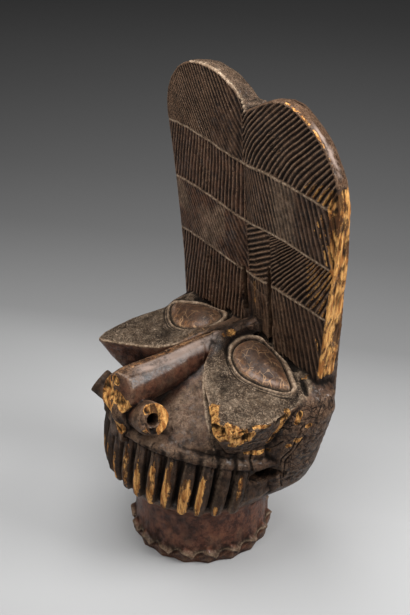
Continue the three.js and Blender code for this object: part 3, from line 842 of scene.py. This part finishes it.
def painted_highlights(g):
    """Painted highlights as pale streaks along the nose, where they are partly pale wear too, on the right
    lobe's edge and on the eyes' lower edges.
    """
    p = g.p
    x, y, z = p.T
    stripe = g.nose * ease(np.abs(x - 9 - 0.03 * (y + 60)), 8.5, 5)
    stripe = stripe * ease(g.up, 0.35, 0.6) * ease(y, -126, -112)
    edge = g.far_edge * ease(4 - np.abs(g.behind - 9), 0, 2)
    eye = g.on_eye * ease(6.5 + g.away, 0, 2.5) * ease(-g.away, 0.8, 2.2) * (1 - g.upper)
    patches = lumps(p, 14, 43)
    return np.max([
        stripe * (0.6 + 0.3 * lumps(p, 20, 42)),
        0.9 * edge * ease(z, 640, 650) * ease(712 - z, 0, 14),
        0.7 * eye * np.where(x > 0, ease(patches, -0.6, 0.2), 0.5 * ease(patches, 0.0, 0.4)),
    ], axis=0)


def polished(g):
    """Places that hands have rubbed smooth."""
    nose = g.nose * (0.12 + 0.6 * ease(g.up, 0.3, 0.7))
    return np.max([0.45 * g.on_eye, nose, 0.4 * g.neck, g.far_edge], axis=0)


def painted_shade_and_dark_wood(g, bare):
    """Painted shade in the hollows, cuts, cracks, lid grooves, eye rims, gaps between the teeth and the
    nose's sides; darker wood on the eyes, the teeth and the nose's root.
    """
    p = g.p
    x, y, z = p.T
    hollow = np.clip(g.hollow_wide / 1.3, 0, 1) + np.clip(g.hollow_fine / 0.45, 0, 0.6)
    hollow = hollow * ease(g.edge, 2, 8) * np.where(g.on_front, ease(g.line, 0.7, 2.0), 1)
    hollow = hollow * (1 - 0.7 * g.valley) * (1 - 0.55 * g.on_band)
    cracks = np.max([np.clip(1.2 - close / (0.75 * half), 0, 1) for close, half in cracks_near(p)], axis=0)
    gaps = g.in_teeth * ease(np.abs(g.across), 0.31, 0.42) * (np.abs(g.across) < 0.6)
    return np.max([
        hollow,
        # painted shade in the ribs' grooves
        0.5 * g.on_front * np.clip(1.5 * g.strength, 0, 1) * (1 - g.rib) ** 1.2,
        0.97 * gaps,
        0.95 * cracks * crack_open(p),
        0.97 * ease(1 - g.groove / 4.6, 0, 0.4) * ease(g.away, 9, 12),
        0.6 * ease(1.6 - np.abs(g.away - 2.0), 0, 1.2) * (0.45 + 0.55 * g.upper),
        0.75 * g.nose_root * ease(lumps(p, 7, 49), -0.8, 0.1),
        0.5 * g.on_eye * ease(-g.away, 3, 12),
        0.5 * g.in_teeth * ease(0.6 - bare, 0, 0.2) * ease(z, 124, 150) * ease(200 - z, 0, 12),
        0.45 * g.nose * ease(0.4 - g.up, 0, 0.3),
        0.6 * ease(-36 - x, 0, 4) * ease(-98 - y, 0, 6) * ease(312 - z, 0, 6),
    ], axis=0)


def raised(g):
    """Edges rubbed paler by wear, and a painted highlight on the ribs' crests."""
    rib = 0.3 * g.on_front * np.clip(g.strength, 0, 1) * g.rib ** 1.5
    return np.maximum(np.clip(-g.hollow_fine / 0.4, 0, 1), rib) * np.where(g.in_teeth, 0.5, 1)


def store_marks(s):
    """Stores each mark on the mesh as an attribute from 0 to 1, and the ribs' numbers."""
    g = shared_places(s)
    bare = bare_wood(g)
    marks = {
        "rugged": np.max([head_side(g.p) * (1 - g.in_teeth), 0.35 * g.in_teeth, g.nose_root], axis=0),
        "bare": bare,
        "dust": dusty(g),
        # painted shade in hollows, cuts, cracks and gaps, with some darker wood
        "polish": polished(g),
        # edges rubbed paler, with a painted highlight on the ribs' crests
        "shade_and_dark_wood": painted_shade_and_dark_wood(g, bare),
        "raised": raised(g),
        "red": reddish(g),
        "stipple": pitted(g),
        "honey": honey_coloured(g),
        # painted highlights on the nose, the right lobe's edge and the eyes' lower edges
        "painted_highlight": painted_highlights(g),
        "carved": g.on_front * g.strength * np.where(g.p[:, 0] < 0, 0.75, 0.95),
    }
    marks = {name: np.clip(values, 0, 1) for name, values in marks.items()}
    marks["phase"] = g.number
    for name, values in marks.items():
        layer = s.mesh.attributes.new(name, "FLOAT", "POINT")
        layer.data.foreach_set("value", values.astype(np.float32))


# Wood finish

class Finish:
    """Short calls for one material's nodes."""

    def __init__(self, name):
        self.material = bpy.data.materials.new(name)
        self.material.use_nodes = True
        self.tree = self.material.node_tree
        self.shader = self.tree.nodes["Principled BSDF"]
        self.place = self.make("ShaderNodeTexCoord").outputs["Object"]

    def make(self, kind, **settings):
        node = self.tree.nodes.new(kind)
        for name, value in settings.items():
            setattr(node, name, value)
        return node

    def feed(self, socket, value):
        """Links a socket or sets its value; a colour is given without its alpha."""
        if isinstance(value, bpy.types.NodeSocket):
            self.tree.links.new(value, socket)
        elif value is not None:
            socket.default_value = (*value, 1) if socket.type == "RGBA" else value

    def fill(self, node, **values):
        """Feeds several of a node's inputs, named with underscores for spaces."""
        for name, value in values.items():
            self.feed(node.inputs[name.replace("_", " ")], value)

    def mark(self, name):
        """One of the marks stored on the mesh."""
        return self.make("ShaderNodeAttribute", attribute_name=name).outputs["Fac"]

    def calc(self, operation, *values, clamp=False):
        """Result of one operation on numbers or sockets."""
        node = self.make("ShaderNodeMath", operation=operation, use_clamp=clamp)
        for socket, value in zip(node.inputs, values):
            self.feed(socket, value)
        return node.outputs["Value"]

    def times(self, first, *others):
        for other in others:
            first = self.calc("MULTIPLY", first, other)
        return first

    def ramp(self, value, low, high, start=0.0, end=1.0):
        """Eases from start to end while the value goes from low to high."""
        node = self.make("ShaderNodeMapRange", interpolation_type="SMOOTHSTEP")
        self.fill(node, Value=value, From_Min=low, From_Max=high, To_Min=start, To_Max=end)
        return node.outputs["Result"]

    def mix(self, share, a, b):
        node = self.make("ShaderNodeMix", data_type="RGBA")
        for socket, value in zip((node.inputs[0], node.inputs[6], node.inputs[7]), (share, a, b)):
            self.feed(socket, value)
        return node.outputs[2]

    def stretched(self, z):
        """Object coordinates with the height scaled, for patterns along the grain."""
        node = self.make("ShaderNodeVectorMath", operation="MULTIPLY")
        self.feed(node.inputs[0], self.place)
        node.inputs[1].default_value = (1, 1, z)
        return node.outputs["Vector"]

    def noise(self, scale, detail, roughness, place=None):
        node = self.make("ShaderNodeTexNoise")
        self.fill(node, Vector=place or self.place, Scale=scale, Detail=detail, Roughness=roughness)
        return node.outputs["Fac"]

    def cells(self, scale):
        node = self.make("ShaderNodeTexVoronoi")
        self.fill(node, Vector=self.place, Scale=scale)
        return node.outputs["Distance"]

    def fissures(self, width):
        """1 along a net of crooked thin lines and 0 elsewhere."""
        shift = self.make("ShaderNodeTexNoise")
        self.fill(shift, Vector=self.place, Scale=FISSURE_BEND_SCALE)
        bent = self.make("ShaderNodeVectorMath", operation="MULTIPLY_ADD")
        self.feed(bent.inputs[0], shift.outputs["Color"])
        bent.inputs[1].default_value = (FISSURE_BEND, FISSURE_BEND, FISSURE_BEND)
        self.feed(bent.inputs[2], self.place)
        node = self.make("ShaderNodeTexVoronoi", feature="DISTANCE_TO_EDGE")
        self.fill(node, Vector=bent.outputs["Vector"], Scale=FISSURE_SCALE)
        return self.ramp(node.outputs["Distance"], width, 0.0)

    def bump(self, height, distance, strength, under=None):
        node = self.make("ShaderNodeBump")
        self.fill(node, Height=height, Distance=distance, Strength=strength, Normal=under)
        return node.outputs["Normal"]


def wood_patterns(f):
    """The patterns and masks that several of the wood's parts share."""
    w = SimpleNamespace()
    grain_way = f.stretched(0.11)
    w.grain = f.noise(230, 5, 0.6, grain_way)
    w.fibre = f.noise(620, 4, 0.6, grain_way)
    w.cloud = f.noise(26, 5, 0.6)
    w.patch = f.noise(75, 8, 0.72)
    w.speck = f.noise(380, 4, 0.7)
    w.pits = f.cells(450)
    curled = f.calc("ABSOLUTE", f.calc("SUBTRACT", f.noise(210, 5, 0.7), 0.5))
    w.curls = f.ramp(curled, 0.045, 0.0)
    w.wave = f.calc("COSINE", f.times(f.mark("phase"), 2 * math.pi))
    dust = f.times(f.mark("dust"), f.ramp(f.noise(260, 6, 0.7), 0.42, 0.56, 0.3, 1))
    w.dust = f.calc("MAXIMUM", dust, f.times(f.mark("stipple"), w.curls, 0.9))
    torn = f.times(f.calc("SUBTRACT", f.noise(95, 8, 0.72, f.stretched(0.5)), 0.5), 1.5)
    w.bare = f.ramp(f.calc("ADD", f.mark("bare"), torn), 0.5, 0.54)
    w.stains = f.ramp(f.noise(40, 7, 0.72, f.stretched(0.5)), 0.51, 0.58, 0, 0.9)
    split = f.times(f.mark("rugged"), f.fissures(0.05))
    w.split = f.times(split, f.ramp(w.patch, 0.40, 0.52))
    # painted shade in the ribs' grooves
    cut = f.times(f.mark("carved"), f.ramp(w.wave, 0.15, -0.75))
    # painted shade from hollows, cracks, gaps, the ribs' grooves and the splits, with some darker wood
    shade = f.calc("MAXIMUM", f.calc("MAXIMUM", f.mark("shade_and_dark_wood"), cut), w.split)
    w.shade = f.times(shade, 0.93)
    return w


def patina(f, w):
    """Colour of the smoked surface, with its rubbed spots, painted highlights on the ribs and streaks, dust
    and pits.
    """
    dark = f.mix(f.ramp(w.patch, 0.40, 0.62), SOOT, SMOKED)
    dark = f.mix(f.ramp(w.grain, 0.50, 0.70, 0, 0.55), dark, PALE_GRAIN)
    red = f.mix(f.ramp(w.patch, 0.38, 0.62), RED_DARK, RED_LIGHT)
    red = f.mix(f.ramp(w.cloud, 0.44, 0.66, 0, 0.5), red, RED_SOOT)
    colour = f.mix(f.mark("red"), dark, red)
    scuffed = f.times(f.mark("rugged"), f.ramp(w.speck, 0.52, 0.64), 0.5)
    colour = f.mix(scuffed, colour, SCUFFED)
    # edges rubbed paler, with a painted highlight on the ribs' crests
    rubbed = f.times(f.mark("raised"), f.ramp(w.speck, 0.38, 0.58, 0.15, 1), 0.8)
    colour = f.mix(rubbed, colour, RUBBED_AND_HIGHLIT)
    # painted highlight along the ribs' crests, broken in places
    broken = f.ramp(f.noise(170, 6, 0.7), 0.42, 0.58, 0.05, 1)
    ridge = f.times(f.mark("carved"), f.ramp(w.wave, 0.62, 0.97), broken, 0.8)
    colour = f.mix(ridge, colour, RIB_HIGHLIGHT)
    tinge = f.ramp(f.noise(150, 4, 0.7, f.stretched(0.35)), 0.48, 0.62, 0, 0.4)
    colour = f.mix(f.times(f.mark("honey"), tinge), colour, AMBER)
    dust = f.mix(f.ramp(w.patch, 0.40, 0.60), DUST_THIN, DUST_THICK)
    colour = f.mix(w.dust, colour, dust)
    cloudy = f.ramp(w.cloud, 0.36, 0.6, 0.35, 1)
    pitted = f.times(f.mark("stipple"), f.ramp(w.pits, 0.3, 0.55), cloudy, 0.85)
    colour = f.mix(pitted, colour, PITS)
    # painted highlights: pale streaks on the nose, partly pale wear, on the right lobe's edge and the eyes
    highlight_share = f.times(f.mark("painted_highlight"), f.ramp(w.patch, 0.36, 0.50, 0.45, 1), 0.75)
    return f.mix(highlight_share, colour, PAINTED_SHEEN)


def bare_gold(f, w):
    """Colour of the bare wood."""
    colour = f.mix(f.ramp(w.grain, 0.38, 0.62), GOLD_DARK, GOLD_LIGHT)
    colour = f.mix(f.ramp(w.fibre, 0.55, 0.66, 0, 0.85), colour, GOLD_FIBRE)
    return f.mix(w.stains, colour, GOLD_STAIN)


def wood_colour(f, w):
    """The whole surface's colour, with painted shade in its hollows, grooves and cracks that also darkens
    some wood.
    """
    colour = f.mix(w.bare, patina(f, w), bare_gold(f, w))
    colour = f.mix(w.shade, colour, SHADE)
    threads = f.times(f.fissures(0.045), f.ramp(f.noise(60, 3, 0.6), 0.42, 0.55))
    return f.mix(f.times(threads, f.mark("honey"), 0.85), colour, AMBER_THREADS)


def wood_roughness(f, w):
    """Smooth where polished, matt where dusty, bare or in the shade."""
    rough = f.ramp(w.speck, 0.35, 0.65, 0.34, 0.64)
    rough = f.calc("SUBTRACT", rough, f.times(f.mark("polish"), 0.2))
    matt = f.times(f.calc("MAXIMUM", w.dust, w.bare), 0.25)
    rough = f.calc("ADD", rough, matt, clamp=True)
    return f.calc("ADD", rough, f.times(w.shade, 0.5), clamp=True)


def wood_coat(f, w):
    """Weight of the handling polish, with small glints where there is no dust."""
    coat = f.times(f.mark("polish"), f.ramp(w.speck, 0.30, 0.60, 0.6, 0.25))
    clean = f.ramp(w.dust, 0.0, 0.25, 1, 0)
    glints = f.times(f.ramp(f.noise(120, 5, 0.7), 0.50, 0.60, 0, 0.4), clean)
    coat = f.calc("MAXIMUM", coat, glints)
    return f.times(coat, f.calc("SUBTRACT", 1.0, w.shade))


def wood_relief(f, w):
    """Bumps of the grain, specks, pits, splits and torn fibres."""
    relief = f.bump(w.grain, 0.0014, f.ramp(f.mark("polish"), 0, 1, 0.85, 0.25))
    relief = f.bump(w.speck, 0.0013, f.ramp(f.mark("polish"), 0, 1, 0.8, 0.25), relief)
    relief = f.bump(w.patch, 0.0030, f.ramp(f.mark("rugged"), 0, 1, 0.2, 0.65), relief)
    stipple = f.times(f.calc("SUBTRACT", w.curls, w.pits), f.mark("stipple"))
    relief = f.bump(stipple, 0.0020, 1.0, relief)
    relief = f.bump(f.calc("SUBTRACT", 1.0, w.split), 0.0012, 1.0, relief)
    torn = f.times(f.calc("SUBTRACT", w.fibre, w.stains), w.bare)
    return f.bump(torn, 0.0015, 0.8, relief)


def smoked_wood():
    """Dark smoked wood with dust, polish, golden breaks, painted shade and painted highlights, steered by the
    marks on the mesh.
    """
    f = Finish("smoked_wood")
    w = wood_patterns(f)
    f.fill(f.shader, Base_Color=wood_colour(f, w), Roughness=wood_roughness(f, w), Specular_IOR_Level=0.14)
    f.fill(f.shader, Coat_Weight=wood_coat(f, w), Coat_Roughness=0.24, Normal=wood_relief(f, w))
    return f.material


# Piece

def drop_stray_faces(mesh):
    """Deletes faces with fewer than two neighbours, left where tiny hollows were simplified."""
    bm = bmesh.new()
    bm.from_mesh(mesh)
    stray = [face for face in bm.faces if len({near for edge in face.edges for near in edge.link_faces}) < 3]
    bmesh.ops.delete(bm, geom=stray, context="FACES")
    bm.to_mesh(mesh)
    bm.free()


def soften(s, creases):
    """Rounds off the solid's facets and keeps its true edges, the teeth and the scallops crisp."""
    x, y, z = s.p.T
    _, reach, _, _ = mouth_fields(s.p)
    away, _, _ = eye_fields(s.p)
    share = np.maximum(0.5 * ease(creases, 0.6, CREASE_REACH), 0.03)
    share = np.where(on_teeth(s.p, reach, 112, 222, 0.93), 0.035, share)
    share = np.where((away < 13) & (s.n[:, 2] > 0.1), 0.4, share)
    share = np.where((z < 30) & (np.hypot(x, y) > 98), 0.06, share)
    s.relax(share, SMOOTH_PASSES)
    s.write()


def carved_mask():
    """Carves the block, marks its wear and hands it over as the solid's visual."""
    obj, edges = rough_block()
    s = Surface(obj.data)
    creases = edge_distance(s.p, edges)
    soften(s, creases)
    carve_ribs(s)
    carve_eyes(s)
    weather(s, creases)
    mesh = applied(obj, "DECIMATE", ratio=min(1, FACE_COUNT / (2 * len(obj.data.polygons))))
    drop_stray_faces(mesh)
    store_marks(Surface(mesh))
    mesh.shade_smooth()
    mesh.materials.clear()
    mesh.materials.append(smoked_wood())
    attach(obj, "root")
    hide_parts("carved_mask")


# Studio

def pale_floor():
    """Round sheet of paper with painted light fall-off: it gets darker towards the back, and a little towards
    the front.
    """
    bm = bmesh.new()
    bmesh.ops.create_circle(bm, cap_ends=True, segments=64, radius=9)
    mesh = bpy.data.meshes.new("studio_floor")
    bm.to_mesh(mesh)
    bm.free()
    floor = bpy.data.objects.new("studio_floor", mesh)
    bpy.context.collection.objects.link(floor)
    f = Finish("pale_paper")
    away = f.make("ShaderNodeVectorMath", operation="DOT_PRODUCT")
    f.feed(away.inputs[0], f.place)
    away.inputs[1].default_value = FLOOR_WAY
    ramp = f.make("ShaderNodeMapRange")
    f.fill(ramp, Value=away.outputs["Value"], From_Min=FLOOR_FRONT, From_Max=FLOOR_BACK)
    # painted light fall-off along the floor
    shades = f.make("ShaderNodeValToRGB")
    f.fill(shades, Fac=ramp.outputs["Result"])
    stops = shades.color_ramp.elements
    for i, (far, grey) in enumerate(PAPER_FALLOFF_GREYS):
        stop = stops[i] if i < 2 else stops.new(far)
        stop.position = far
        stop.color = (grey, grey, grey, 1)
    f.fill(f.shader, Base_Color=shades.outputs["Color"], Roughness=0.6, Specular_IOR_Level=0.15)
    mesh.materials.append(f.material)


def softbox(name, place, aim, size, power):
    light = bpy.data.lights.new(name, "AREA")
    light.shape = "RECTANGLE"
    light.size, light.size_y = size
    light.energy = power
    obj = bpy.data.objects.new(name, light)
    bpy.context.collection.objects.link(obj)
    obj.location = place
    obj.rotation_euler = (Vector(aim) - Vector(place)).to_track_quat("-Z", "Y").to_euler()


def studio():
    pale_floor()
    for box in SOFTBOXES:
        softbox(*box)
    world = bpy.data.worlds.new("studio_air")
    world.use_nodes = True
    air = world.node_tree.nodes["Background"]
    air.inputs["Color"].default_value = AIR_GREY
    air.inputs["Strength"].default_value = AIR_STRENGTH
    bpy.context.scene.world = world
    bpy.context.scene.view_settings.view_transform = "Standard"


def photo_camera():
    camera = bpy.data.cameras.new("photo_camera")
    camera.lens = CAMERA_LENS
    camera.sensor_width = CAMERA_SENSOR
    obj = bpy.data.objects.new("photo_camera", camera)
    bpy.context.collection.objects.link(obj)
    obj.location = CAMERA_PLACE
    obj.rotation_euler = (math.pi / 2 - CAMERA_TILT, 0, CAMERA_TURN)
    bpy.context.scene.camera = obj


carved_mask()
studio()
photo_camera()
